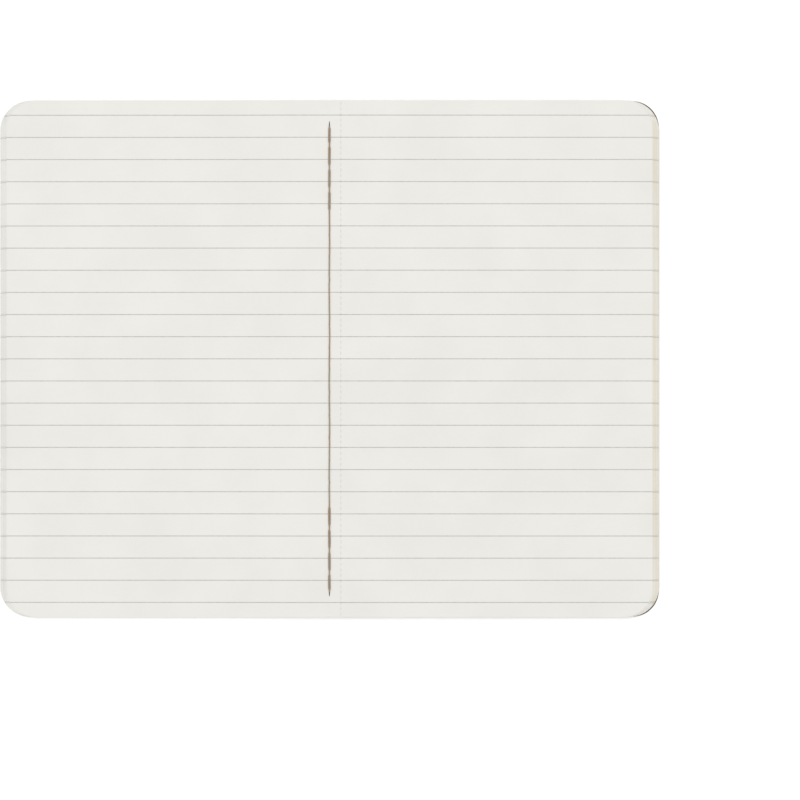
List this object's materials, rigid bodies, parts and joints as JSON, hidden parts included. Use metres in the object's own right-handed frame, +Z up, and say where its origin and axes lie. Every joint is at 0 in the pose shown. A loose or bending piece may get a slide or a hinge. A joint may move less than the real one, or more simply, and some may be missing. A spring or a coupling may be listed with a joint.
{
  "type": "pocket notebook",
  "caption": "Soft-covered, saddle-stitched pocket notebook with ruled pages, open flat at its centre spread, with leaves and cover that turn on the fold.",
  "frame": {"origin": "middle of the fold, on the surface that the open covers lie on", "axes": "+X across the spread towards the fore-edge of the right-hand page, +Y along the fold towards the head of the page, +Z up out of the page"},
  "size_m": [0.1784, 0.1396, 0.0029],
  "materials": {
    "page_paper": "uncoated ruled writing paper",
    "kraft_card": "uncoated brown kraft card",
    "pocket_paper": "uncoated brown kraft paper",
    "thread": "twisted cotton thread"
  },
  "bodies": {
    "root": {"back_cover": "kraft_card", "cover_fold": "kraft_card", "sheet_fold_01": "page_paper", "sheet_fold_02": "page_paper", "sheet_fold_03": "page_paper", "sheet_fold_04": "page_paper", "sheet_fold_05": "page_paper", "sheet_fold_06": "page_paper", "sheet_fold_07": "page_paper", "sheet_fold_08": "page_paper", "sheet_fold_09": "page_paper", "sheet_fold_10": "page_paper", "sheet_fold_11": "page_paper", "sheet_fold_12": "page_paper", "sheet_fold_13": "page_paper", "sheet_fold_14": "page_paper", "sheet_fold_15": "page_paper", "sheet_fold_16": "page_paper", "gutter_thread": "thread", "spine_thread": "thread", "pocket_seam": "pocket_paper", "pocket_panel": "pocket_paper"},
    "front_half": {"front_cover": "kraft_card"},
    "right_leaf_01": {"right_leaf_01": "page_paper"},
    "right_leaf_02": {"right_leaf_02": "page_paper"},
    "right_leaf_03": {"right_leaf_03": "page_paper"},
    "right_leaf_04": {"right_leaf_04": "page_paper"},
    "right_leaf_05": {"right_leaf_05": "page_paper"},
    "right_leaf_06": {"right_leaf_06": "page_paper"},
    "right_leaf_07": {"right_leaf_07": "page_paper"},
    "right_leaf_08": {"right_leaf_08": "page_paper"},
    "right_leaf_09": {"right_leaf_09": "page_paper"},
    "right_leaf_10": {"right_leaf_10": "page_paper"},
    "right_leaf_11": {"right_leaf_11": "page_paper"},
    "right_leaf_12": {"right_leaf_12": "page_paper"},
    "right_leaf_13": {"right_leaf_13": "page_paper"},
    "right_leaf_14": {"right_leaf_14": "page_paper"},
    "right_leaf_15": {"right_leaf_15": "page_paper"},
    "right_leaf_16": {"right_leaf_16": "page_paper"},
    "left_leaf_01": {"left_leaf_01": "page_paper"},
    "left_leaf_02": {"left_leaf_02": "page_paper"},
    "left_leaf_03": {"left_leaf_03": "page_paper"},
    "left_leaf_04": {"left_leaf_04": "page_paper"},
    "left_leaf_05": {"left_leaf_05": "page_paper"},
    "left_leaf_06": {"left_leaf_06": "page_paper"},
    "left_leaf_07": {"left_leaf_07": "page_paper"},
    "left_leaf_08": {"left_leaf_08": "page_paper"},
    "left_leaf_09": {"left_leaf_09": "page_paper"},
    "left_leaf_10": {"left_leaf_10": "page_paper"},
    "left_leaf_11": {"left_leaf_11": "page_paper"},
    "left_leaf_12": {"left_leaf_12": "page_paper"},
    "left_leaf_13": {"left_leaf_13": "page_paper"},
    "left_leaf_14": {"left_leaf_14": "page_paper"},
    "left_leaf_15": {"left_leaf_15": "page_paper"},
    "left_leaf_16": {"left_leaf_16": "page_paper"}
  },
  "joints": [
    {"name": "cover_hinge", "type": "hinge", "parent": "root", "child": "front_half", "pos_m": [0, 0, 0.0027], "axis": [0, 1, 0], "range_deg": [0, 179]},
    {"name": "right_leaf_01_turn", "type": "hinge", "parent": "root", "child": "right_leaf_01", "pos_m": [0, 0, 0.0027], "axis": [0, 1, 0], "range_deg": [-179.99, 0]},
    {"name": "right_leaf_02_turn", "type": "hinge", "parent": "right_leaf_01", "child": "right_leaf_02", "pos_m": [0, 0, 0.0027], "axis": [0, 1, 0], "range_deg": [-179.99, 0]},
    {"name": "right_leaf_03_turn", "type": "hinge", "parent": "right_leaf_02", "child": "right_leaf_03", "pos_m": [0, 0, 0.0027], "axis": [0, 1, 0], "range_deg": [-179.99, 0]},
    {"name": "right_leaf_04_turn", "type": "hinge", "parent": "right_leaf_03", "child": "right_leaf_04", "pos_m": [0, 0, 0.0027], "axis": [0, 1, 0], "range_deg": [-179.99, 0]},
    {"name": "right_leaf_05_turn", "type": "hinge", "parent": "right_leaf_04", "child": "right_leaf_05", "pos_m": [0, 0, 0.0027], "axis": [0, 1, 0], "range_deg": [-179.99, 0]},
    {"name": "right_leaf_06_turn", "type": "hinge", "parent": "right_leaf_05", "child": "right_leaf_06", "pos_m": [0, 0, 0.0027], "axis": [0, 1, 0], "range_deg": [-179.99, 0]},
    {"name": "right_leaf_07_turn", "type": "hinge", "parent": "right_leaf_06", "child": "right_leaf_07", "pos_m": [0, 0, 0.0027], "axis": [0, 1, 0], "range_deg": [-179.99, 0]},
    {"name": "right_leaf_08_turn", "type": "hinge", "parent": "right_leaf_07", "child": "right_leaf_08", "pos_m": [0, 0, 0.0027], "axis": [0, 1, 0], "range_deg": [-179.99, 0]},
    {"name": "right_leaf_09_turn", "type": "hinge", "parent": "right_leaf_08", "child": "right_leaf_09", "pos_m": [0, 0, 0.0027], "axis": [0, 1, 0], "range_deg": [-179.99, 0]},
    {"name": "right_leaf_10_turn", "type": "hinge", "parent": "right_leaf_09", "child": "right_leaf_10", "pos_m": [0, 0, 0.0027], "axis": [0, 1, 0], "range_deg": [-179.99, 0]},
    {"name": "right_leaf_11_turn", "type": "hinge", "parent": "right_leaf_10", "child": "right_leaf_11", "pos_m": [0, 0, 0.0027], "axis": [0, 1, 0], "range_deg": [-179.99, 0]},
    {"name": "right_leaf_12_turn", "type": "hinge", "parent": "right_leaf_11", "child": "right_leaf_12", "pos_m": [0, 0, 0.0027], "axis": [0, 1, 0], "range_deg": [-179.99, 0]},
    {"name": "right_leaf_13_turn", "type": "hinge", "parent": "right_leaf_12", "child": "right_leaf_13", "pos_m": [0, 0, 0.0027], "axis": [0, 1, 0], "range_deg": [-179.99, 0]},
    {"name": "right_leaf_14_turn", "type": "hinge", "parent": "right_leaf_13", "child": "right_leaf_14", "pos_m": [0, 0, 0.0027], "axis": [0, 1, 0], "range_deg": [-179.99, 0]},
    {"name": "right_leaf_15_turn", "type": "hinge", "parent": "right_leaf_14", "child": "right_leaf_15", "pos_m": [0, 0, 0.0027], "axis": [0, 1, 0], "range_deg": [-179.99, 0]},
    {"name": "right_leaf_16_turn", "type": "hinge", "parent": "right_leaf_15", "child": "right_leaf_16", "pos_m": [0, 0, 0.0027], "axis": [0, 1, 0], "range_deg": [-179.99, 0]},
    {"name": "left_leaf_01_turn", "type": "hinge", "parent": "front_half", "child": "left_leaf_01", "pos_m": [0, 0, 0.0027], "axis": [0, -1, 0], "range_deg": [-179.99, 0]},
    {"name": "left_leaf_02_turn", "type": "hinge", "parent": "left_leaf_01", "child": "left_leaf_02", "pos_m": [0, 0, 0.0027], "axis": [0, -1, 0], "range_deg": [-179.99, 0]},
    {"name": "left_leaf_03_turn", "type": "hinge", "parent": "left_leaf_02", "child": "left_leaf_03", "pos_m": [0, 0, 0.0027], "axis": [0, -1, 0], "range_deg": [-179.99, 0]},
    {"name": "left_leaf_04_turn", "type": "hinge", "parent": "left_leaf_03", "child": "left_leaf_04", "pos_m": [0, 0, 0.0027], "axis": [0, -1, 0], "range_deg": [-179.99, 0]},
    {"name": "left_leaf_05_turn", "type": "hinge", "parent": "left_leaf_04", "child": "left_leaf_05", "pos_m": [0, 0, 0.0027], "axis": [0, -1, 0], "range_deg": [-179.99, 0]},
    {"name": "left_leaf_06_turn", "type": "hinge", "parent": "left_leaf_05", "child": "left_leaf_06", "pos_m": [0, 0, 0.0027], "axis": [0, -1, 0], "range_deg": [-179.99, 0]},
    {"name": "left_leaf_07_turn", "type": "hinge", "parent": "left_leaf_06", "child": "left_leaf_07", "pos_m": [0, 0, 0.0027], "axis": [0, -1, 0], "range_deg": [-179.99, 0]},
    {"name": "left_leaf_08_turn", "type": "hinge", "parent": "left_leaf_07", "child": "left_leaf_08", "pos_m": [0, 0, 0.0027], "axis": [0, -1, 0], "range_deg": [-179.99, 0]},
    {"name": "left_leaf_09_turn", "type": "hinge", "parent": "left_leaf_08", "child": "left_leaf_09", "pos_m": [0, 0, 0.0027], "axis": [0, -1, 0], "range_deg": [-179.99, 0]},
    {"name": "left_leaf_10_turn", "type": "hinge", "parent": "left_leaf_09", "child": "left_leaf_10", "pos_m": [0, 0, 0.0027], "axis": [0, -1, 0], "range_deg": [-179.99, 0]},
    {"name": "left_leaf_11_turn", "type": "hinge", "parent": "left_leaf_10", "child": "left_leaf_11", "pos_m": [0, 0, 0.0027], "axis": [0, -1, 0], "range_deg": [-179.99, 0]},
    {"name": "left_leaf_12_turn", "type": "hinge", "parent": "left_leaf_11", "child": "left_leaf_12", "pos_m": [0, 0, 0.0027], "axis": [0, -1, 0], "range_deg": [-179.99, 0]},
    {"name": "left_leaf_13_turn", "type": "hinge", "parent": "left_leaf_12", "child": "left_leaf_13", "pos_m": [0, 0, 0.0027], "axis": [0, -1, 0], "range_deg": [-179.99, 0]},
    {"name": "left_leaf_14_turn", "type": "hinge", "parent": "left_leaf_13", "child": "left_leaf_14", "pos_m": [0, 0, 0.0027], "axis": [0, -1, 0], "range_deg": [-179.99, 0]},
    {"name": "left_leaf_15_turn", "type": "hinge", "parent": "left_leaf_14", "child": "left_leaf_15", "pos_m": [0, 0, 0.0027], "axis": [0, -1, 0], "range_deg": [-179.99, 0]},
    {"name": "left_leaf_16_turn", "type": "hinge", "parent": "left_leaf_15", "child": "left_leaf_16", "pos_m": [0, 0, 0.0027], "axis": [0, -1, 0], "range_deg": [-179.99, 0]}
  ]
}
